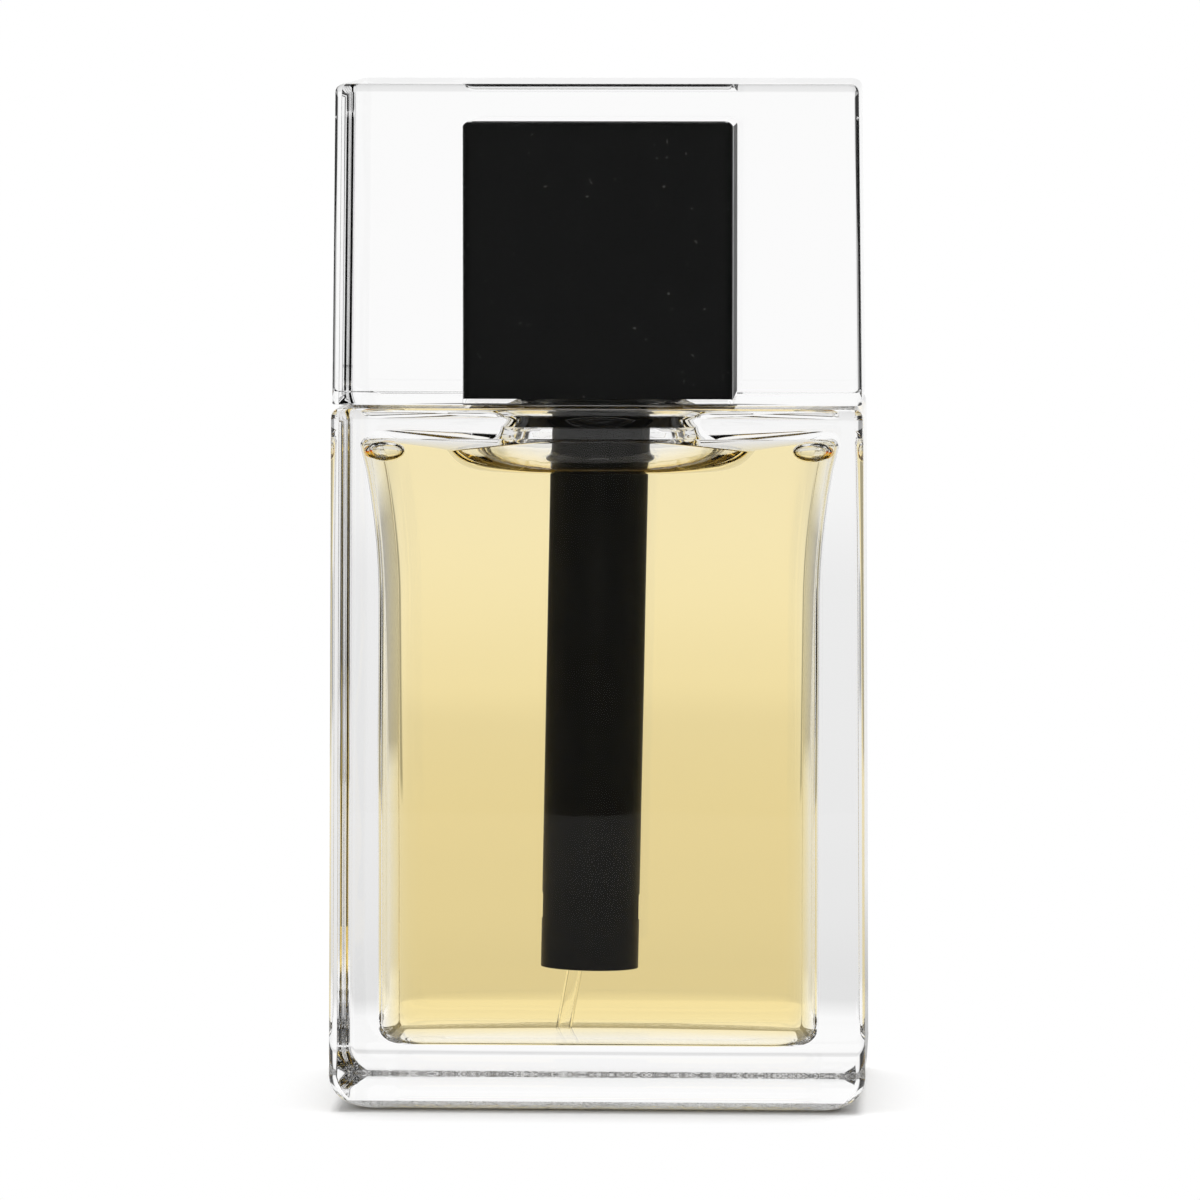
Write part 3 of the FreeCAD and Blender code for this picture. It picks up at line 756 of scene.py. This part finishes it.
def cap_pocket():
    """The pocket that the core sits in, from the middle of its top down to the cap's foot."""
    sizes = bpy.context.scene.cap_sizes
    half_x, half_y = core_high.x + CORE_GAP, core_high.y + CORE_GAP
    top = core_high.z + CORE_GAP
    top_x, top_y = half_x - sizes.core_edge, half_y - sizes.core_edge
    pocket = [section(top_x * share, top_y * share, POCKET_TOP_CORNER, top) for share in POCKET_TOP_SHARES]
    for sine, cosine in arc_steps():
        draw = sizes.core_edge * (1 - sine)
        level = top - sizes.core_edge * (1 - cosine)
        pocket.append(section(half_x - draw, half_y - draw, POCKET_SIDE_CORNER - POCKET_SHRINK * draw, level))
    for level in (top - sizes.core_edge - POCKET_RING, cap_low.z):
        pocket.append(section(half_x, half_y, POCKET_SIDE_CORNER, level))
    return pocket


def cap_outside():
    """The cap's foot, sides and polished top, up to the middle of the top."""
    sizes = bpy.context.scene.cap_sizes
    half_x, half_y = cap_high.x, cap_high.y
    foot = cap_low.z + sizes.foot_edge
    top = cap_high.z - sizes.top_edge
    outside = []
    for sine, cosine in arc_steps():
        draw = sizes.foot_edge * (1 - sine)
        level = cap_low.z + sizes.foot_edge * (1 - cosine)
        corner = sizes.upright_edge - CORNER_SHRINK * draw
        outside.append(section(half_x - draw, half_y - draw, corner, level, EDGE_STRETCH))
    for share in CAP_SIDE_SHARES:
        level = foot + (top - foot) * share
        outside.append(section(half_x - sizes.draft * share, half_y, sizes.upright_edge, level, EDGE_STRETCH))
    half_x -= sizes.draft
    for sine, cosine in arc_steps():
        draw = sizes.top_edge * (1 - cosine)
        corner = sizes.upright_edge - TOP_SHRINK * draw
        level = top + sizes.top_edge * sine
        points = section(half_x - draw, half_y - TOP_STRETCH * draw, corner, level, EDGE_STRETCH)
        outside.append(uneven(points, -sizes.wobble * sine, TOP_WAVE))
    top_x, top_y = half_x - sizes.top_edge, half_y - TOP_STRETCH * sizes.top_edge
    for share in CAP_TOP_SHARES:
        outside.append(section(top_x * share, top_y * share, TOP_CORNER * share, cap_high.z, EDGE_STRETCH))
    return outside


def build_cap():
    """A solid block round the core's pocket, whose left and right sides sit close on the core."""
    mesh = bmesh.new()
    loft(mesh, [(1, cap_pocket()), (0, cap_outside())])
    mesh.normal_update()
    for face in mesh.faces:
        if face.material_index == 1 and abs(face.normal.x) > SIDE_FACING:
            face.material_index = 2
    return mesh


# The spring's wire in millimetres, its turns and the steps of each turn
SPRING_WIRE = 0.5
SPRING_TURNS = 6
SPRING_STEPS = 32
WIRE_SIDES = 12


def build_spring():
    """A wire section spun up into a coil."""
    mesh = bmesh.new()
    wire = SPRING_WIRE / 2
    mean = spring_high.x - wire
    height = spring_high.z - spring_low.z - SPRING_WIRE
    steps = SPRING_TURNS * SPRING_STEPS
    upright = Vector((0, -1, 0)).to_track_quat("Z", "Y").to_matrix()
    made = bmesh.ops.create_circle(mesh, cap_ends=True, segments=WIRE_SIDES, radius=wire * MM)["verts"]
    bmesh.ops.rotate(mesh, verts=made, cent=(0, 0, 0), matrix=upright)
    bmesh.ops.translate(mesh, verts=made, vec=Vector((mean, 0, spring_low.z + wire)) * MM)
    bmesh.ops.spin(mesh, geom=mesh.faces[:], cent=(0, 0, 0), axis=(0, 0, 1), dvec=(0, 0, height / steps * MM),
                   angle=math.radians(360) * SPRING_TURNS, steps=steps)
    bmesh.ops.recalc_face_normals(mesh, faces=mesh.faces)
    return mesh


class BOTTLE_OT_glass(bpy.types.Operator):
    """Make the glass bottle"""
    bl_idname = "bottle.glass"
    bl_label = "Glass bottle"

    def execute(self, context):
        piece = add_piece("bottle_glass", build_glass(), [flint_glass(), wetted_glass(), stippled_glass()],
                          "bottle")
        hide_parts("glass_bottle")
        return {"FINISHED"}


class BOTTLE_OT_lotion(bpy.types.Operator):
    """Make the lotion with its air pocket and bubbles"""
    bl_idname = "bottle.lotion"
    bl_label = "Lotion"

    def execute(self, context):
        piece = add_piece("bottle_lotion", build_lotion(), [lotion_body()], "bottle")
        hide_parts("lotion_fill")
        add_piece("lotion_surface", build_skin(), lotion_skin(), "bottle")
        return {"FINISHED"}


class BOTTLE_OT_cap(bpy.types.Operator):
    """Make the clear cap block"""
    bl_idname = "bottle.cap"
    bl_label = "Clear cap"

    def execute(self, context):
        materials = [clear_acrylic(), bonded_acrylic(), seated_acrylic()]
        piece = add_piece("cap_clear_block", build_cap(), materials, "cap")
        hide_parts("cap_block")
        return {"FINISHED"}


class BOTTLE_OT_spring(bpy.types.Operator):
    """Make the return spring as a coil of fixed length"""
    bl_idname = "bottle.spring"
    bl_label = "Return spring"

    def execute(self, context):
        wire = bare_metal("spring_steel_drawn", "#C9CACC", 0.28)
        piece = add_piece("return_spring_coil", build_spring(), [wire], "bottle")
        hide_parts("return_spring")
        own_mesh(piece)
        return {"FINISHED"}


class BOTTLE_OT_finishes(bpy.types.Operator):
    """Dress the pieces that keep their own shape"""
    bl_idname = "bottle.finishes"
    bl_label = "Finishes"

    def execute(self, context):
        milky, soft, anodised, moulding = milky_plastic(), rubber(), black_anodised(), black_moulding()
        dressed = {
            "cap_core": black_lacquer(), "tube_sleeve": sleeve_plastic(), "dip_tube": tube_plastic(),
            "pump_housing": milky, "spring_seat": milky, "pump_turret": milky, "pump_stem": milky,
            "pump_piston": milky,
            "neck_gasket": soft, "stem_seal": soft, "collar_ring": anodised, "button_shell": anodised,
            "button_core": moulding, "nozzle_insert": moulding, "cap_liner": moulding,
            "inlet_ball": bare_metal("ball_steel_polished", "#D2D4D6", 0.08),
            "crimp_ferrule": bare_metal("aluminium_pressed", "#DADCDD", 0.3),
        }
        for name, material in dressed.items():
            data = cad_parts[name].data
            data.materials.clear()
            data.materials.append(material)
        return {"FINISHED"}


# The floor's ends and the places on it in metres, and how bright it is
FLOOR_WIDTH = 2.4
FLOOR_FRONT = 0.32
FLOOR_BACK = 4.0
FLOOR_GAP = 0.00003
SHADOW_START = -0.002
SHADOW_REACH = 0.007
MIRROR_START = -0.05
MIRROR_END = 0.2
MIRRORED_FLOOR = 0.25
PAPER_COLOUR = (0.9, 0.9, 0.9, 1.0)

# The grey flags that stand on the floor at the quarters: turn from the front and back, and distance
FLAG_START = math.radians(27)
FLAG_END = math.radians(62)
FLAG_BLUR = math.radians(3)
FLAG_NEAR = 0.36
FLAG_FAR = 0.44
FLAG_GREY = 0.4

# The bottle's painted shadow on the floor, seen through the glass: the floor's grey by its distance as a
# share of the floor's back end, ends first
PAINTED_FLOOR_SHADOW = [(0.0, 1.0), (1.0, 1.0), (0.019, 1.0), (0.0225, 0.78), (0.0475, 0.83), (0.0775, 0.845),
               (0.1075, 0.855), (0.1675, 0.865), (0.25, 0.95), (0.4, 1.0)]
FLOOR_PLAIN = 0.4

# The room's grey seen through the glass, from its sides at 0 to its front and back at 1, ends first
THROUGH_TONES = [(0.0, 0.95), (1.0, 1.0), (0.14, 0.9), (0.20, 0.04), (0.66, 0.04), (0.78, 1.0)]
ROOM_GREY = 0.5
MIRROR_DARK = 0.04
MIRROR_TURN = (0.88, 0.98)


# The colour sockets of a Mix node, whose names its other kinds share
MIX_FIRST = 6
MIX_SECOND = 7
MIX_RESULT = 2


def graded(tree, source, output, start, end, low=0.0, high=1.0, **settings):
    """A value that goes from low to high as a node's output goes from start to end."""
    return node(tree, "ShaderNodeMapRange", links={"Value": (source, output)},
                inputs={"From Min": start, "From Max": end, "To Min": low, "To Max": high}, **settings)


def maths(tree, operation, *sources, **more):
    """A number worked out from the outputs of other nodes, each given as (node, output)."""
    return node(tree, "ShaderNodeMath", operation=operation, links=dict(enumerate(sources)), **more)


def choose(tree, factor, first, second):
    """The (node, output) of a colour between two, each a plain grey or (node, output), by a factor."""
    mixed = node(tree, "ShaderNodeMix", data_type="RGBA", links={"Factor": factor})
    for socket, colour in ((MIX_FIRST, first), (MIX_SECOND, second)):
        if isinstance(colour, float):
            mixed.inputs[socket].default_value = (colour, colour, colour, 1.0)
        else:
            source, output = colour
            tree.links.new(source.outputs[output], mixed.inputs[socket])
    return mixed, MIX_RESULT


def grey_ramp(tree, value, stops):
    """A grey level for a value from 0 to 1, from stops of (value, grey)."""
    ramp = node(tree, "ShaderNodeValToRGB", links={"Fac": (value, "Value")})
    ramp.color_ramp.interpolation = "EASE"
    for index, (place, grey) in enumerate(stops):
        if index < 2:
            stop = ramp.color_ramp.elements[index]
            stop.position = place
        else:
            stop = ramp.color_ramp.elements.new(place)
        stop.color = (grey, grey, grey, 1.0)
    return ramp


def floor_with_painted_shadow(tree, rays, place, far):
    """The floor's grey: plain white to the camera, and, seen through clear pieces, darkened near the bottle
    by a painted shadow and flagged.
    """
    front = graded(tree, place, "Y", -FLOOR_FRONT, -0.5 * FLOOR_FRONT, FLOOR_PLAIN, 0.0)
    reach = maths(tree, "DIVIDE", (far, "Value"), inputs={1: FLOOR_BACK})
    reach = maths(tree, "ADD", (reach, 0), (front, "Result"))
    # Painted shadow: seen through clear pieces, the floor is greyer near the bottle, as if in the bottle's
    # own shadow
    painted_shadow = grey_ramp(tree, reach, PAINTED_FLOOR_SHADOW)
    across = maths(tree, "ABSOLUTE", (place, "X"))
    along = maths(tree, "ABSOLUTE", (place, "Y"))
    turn = maths(tree, "ARCTAN2", (across, 0), (along, 0))
    start = graded(tree, turn, 0, FLAG_START - FLAG_BLUR, FLAG_START)
    end = graded(tree, turn, 0, FLAG_END + FLAG_BLUR, FLAG_END)
    beyond = graded(tree, far, "Value", FLAG_NEAR, FLAG_FAR)
    flag = maths(tree, "MULTIPLY", (start, "Result"), (end, "Result"))
    flag = maths(tree, "MULTIPLY", (flag, 0), (beyond, "Result"))
    flagged = choose(tree, (flag, 0), (painted_shadow, "Color"), FLAG_GREY)
    return choose(tree, (rays, "Is Camera Ray"), flagged, 1.0)


def floor_material():
    """White paper that fades to the plain background away from the bottle, and keeps its shadow; seen through
    clear pieces it carries a painted shadow.
    """
    material = bpy.data.materials.new("white_paper")
    material.use_nodes = True
    tree = material.node_tree
    tree.nodes.clear()
    paper = node(tree, "ShaderNodeBsdfDiffuse", inputs={"Color": PAPER_COLOUR})
    rays = node(tree, "ShaderNodeLightPath")
    direct = maths(tree, "MAXIMUM", (rays, "Is Camera Ray"), (rays, "Is Transmission Ray"))
    seen = maths(tree, "MAXIMUM", (direct, 0), (rays, "Is Glossy Ray"))
    point = node(tree, "ShaderNodeTexCoord")
    place = node(tree, "ShaderNodeSeparateXYZ", links={"Vector": (point, "Object")})
    far = node(tree, "ShaderNodeVectorMath", operation="LENGTH", links={0: (point, "Object")})
    past_glass = node(tree, "ShaderNodeVectorMath", operation="ABSOLUTE", links={0: (point, "Object")})
    past_glass = node(tree, "ShaderNodeVectorMath", operation="SUBTRACT", links={0: (past_glass, "Vector")},
                      inputs={1: glass_high * MM})
    past = node(tree, "ShaderNodeSeparateXYZ", links={"Vector": (past_glass, "Vector")})
    edge = maths(tree, "MAXIMUM", (past, "X"), (past, "Y"))
    clear_of_shadow = graded(tree, edge, 0, SHADOW_START, SHADOW_REACH)
    # The floor's emission colour, with the painted shadow that clear pieces see
    painted_shadow_colour = floor_with_painted_shadow(tree, rays, place, far)
    mirrored = graded(tree, place, "Y", MIRROR_START, MIRROR_END, MIRRORED_FLOOR, 1.0)
    bright = maths(tree, "MAXIMUM", (mirrored, "Result"), (direct, 0))
    white = node(tree, "ShaderNodeEmission", links={"Strength": (bright, 0), "Color": painted_shadow_colour})
    share = maths(tree, "MULTIPLY", (seen, 0), (clear_of_shadow, "Result"))
    mixed = node(tree, "ShaderNodeMixShader",
                 links={"Fac": (share, 0), 1: (paper, "BSDF"), 2: (white, "Emission")})
    node(tree, "ShaderNodeOutputMaterial", links={"Surface": (mixed, "Shader")})
    return material


def studio_world():
    """A white room with dark flags at its quarters, so that clear edges show as lines from any side."""
    world = bpy.data.worlds.new("studio")
    bpy.context.scene.world = world
    world.use_nodes = True
    tree = world.node_tree
    tree.nodes.clear()
    rays = node(tree, "ShaderNodeLightPath")
    point = node(tree, "ShaderNodeTexCoord")
    place = node(tree, "ShaderNodeSeparateXYZ", links={"Vector": (point, "Generated")})
    across = maths(tree, "ABSOLUTE", (place, "X"))
    along = maths(tree, "ABSOLUTE", (place, "Y"))
    turn = maths(tree, "ARCTAN2", (along, 0), (across, 0))
    quarter = maths(tree, "DIVIDE", (turn, 0), inputs={1: math.radians(90)})
    through = grey_ramp(tree, quarter, THROUGH_TONES)
    mirrored = graded(tree, place, "Y", *MIRROR_TURN, MIRROR_DARK, 1.0, interpolation_type="SMOOTHSTEP")
    plain = choose(tree, (rays, "Is Glossy Ray"), ROOM_GREY, (mirrored, "Result"))
    clear = choose(tree, (rays, "Is Transmission Ray"), plain, (through, "Color"))
    seen = choose(tree, (rays, "Is Camera Ray"), clear, 1.0)
    light = node(tree, "ShaderNodeBackground", links={"Color": seen}, inputs={"Strength": 1.0})
    node(tree, "ShaderNodeOutputWorld", links={"Surface": (light, "Background")})


# Soft boxes: place and size in metres, and power in watts
LAMPS = {
    "overhead_box": ((0.0, 0.1, 0.9), 0.7, 9.0),
    "left_box": ((-0.7, -0.5, 0.5), 0.5, 3.0),
    "right_box": ((0.7, 0.5, 0.5), 0.5, 3.0),
}
LAMP_AIM = Vector((0, 0, 0.06))

# The camera's sensor in millimetres and nearest view in metres, and how often light may bounce
SENSOR_WIDTH = 36.0
CLIP_START = 0.01
CLEAR_BOUNCES = 32
GLOSSY_BOUNCES = 8
TRANSPARENT_BOUNCES = 16


def add_lamp(name, place, size, power):
    """A square soft box that faces the bottle's middle."""
    data = bpy.data.lights.new(name, "AREA")
    data.shape = "SQUARE"
    data.size = size
    data.energy = power
    lamp = bpy.data.objects.new(name, data)
    lamp.location = place
    lamp.rotation_euler = (LAMP_AIM - Vector(place)).to_track_quat("-Z", "Y").to_euler()
    bpy.context.scene.collection.objects.link(lamp)
    lamp.visible_glossy = False
    lamp.visible_transmission = False


def add_floor():
    """A sheet of white paper under the bottle and far behind it."""
    mesh = bmesh.new()
    made = bmesh.ops.create_grid(mesh, x_segments=1, y_segments=1, size=0.5)["verts"]
    bmesh.ops.scale(mesh, verts=made, vec=(FLOOR_WIDTH, FLOOR_FRONT + FLOOR_BACK, 1.0))
    bmesh.ops.translate(mesh, verts=made, vec=(0, (FLOOR_BACK - FLOOR_FRONT) / 2, -FLOOR_GAP))
    data = bpy.data.meshes.new("studio_floor")
    mesh.to_mesh(data)
    mesh.free()
    data.materials.append(floor_material())
    floor = bpy.data.objects.new("studio_floor", data)
    bpy.context.scene.collection.objects.link(floor)


def add_camera():
    """The camera in front, a little to the right and above, aimed at the bottle's middle."""
    scene = bpy.context.scene
    settings = scene.bottle_stage
    data = bpy.data.cameras.new("camera")
    data.sensor_width = SENSOR_WIDTH
    data.lens = settings.lens
    data.clip_start = CLIP_START
    camera = bpy.data.objects.new("camera", data)
    level = math.cos(settings.elevation)
    towards = Vector((math.sin(settings.azimuth) * level, -math.cos(settings.azimuth) * level,
                      math.sin(settings.elevation)))
    camera.location = Vector(settings.aim) + settings.distance * towards
    camera.rotation_euler = (-towards).to_track_quat("-Z", "Y").to_euler()
    scene.collection.objects.link(camera)
    scene.camera = camera


class BOTTLE_OT_stage(bpy.types.Operator):
    """Make the floor, the light and the camera"""
    bl_idname = "bottle.stage"
    bl_label = "Studio stage"

    def execute(self, context):
        scene = context.scene
        scene.view_settings.view_transform = "Standard"
        scene.cycles.max_bounces = CLEAR_BOUNCES
        scene.cycles.transmission_bounces = CLEAR_BOUNCES
        scene.cycles.glossy_bounces = GLOSSY_BOUNCES
        scene.cycles.transparent_max_bounces = TRANSPARENT_BOUNCES
        add_floor()
        studio_world()
        for name, (place, size, power) in LAMPS.items():
            add_lamp(name, place, size, power)
        add_camera()
        return {"FINISHED"}


class BOTTLE_PT_panel(bpy.types.Panel):
    """List the bottle's pieces"""
    bl_idname = "BOTTLE_PT_panel"
    bl_label = "Aftershave bottle"
    bl_space_type = "VIEW_3D"
    bl_region_type = "UI"
    bl_category = "Bottle"

    def draw(self, context):
        for operator in operators:
            self.layout.operator(operator.bl_idname)
        for group in groups:
            settings = getattr(context.scene, group)
            box = self.layout.box()
            for key in settings.__annotations__:
                box.prop(settings, key)


groups = {
    "bottle_sizes": BottleSizes,
    "cap_sizes": CapSizes,
    "bottle_colours": BottleColours,
    "bottle_stage": StageSettings,
}
operators = [
    BOTTLE_OT_glass,
    BOTTLE_OT_lotion,
    BOTTLE_OT_cap,
    BOTTLE_OT_spring,
    BOTTLE_OT_finishes,
    BOTTLE_OT_stage,
]


def register():
    """Add the classes and the settings."""
    for made in [*groups.values(), *operators, BOTTLE_PT_panel]:
        bpy.utils.register_class(made)
    for key, group in groups.items():
        setattr(bpy.types.Scene, key, PointerProperty(type=group))


def unregister():
    """Take the settings and the classes away again."""
    for key in groups:
        delattr(bpy.types.Scene, key)
    for made in [BOTTLE_PT_panel, *reversed(operators), *reversed(groups.values())]:
        bpy.utils.unregister_class(made)


def main():
    """Make every piece and the stage."""
    register()
    bpy.ops.bottle.glass()
    bpy.ops.bottle.lotion()
    bpy.ops.bottle.cap()
    bpy.ops.bottle.spring()
    bpy.ops.bottle.finishes()
    bpy.ops.bottle.stage()


if __name__ == "__main__":
    main()
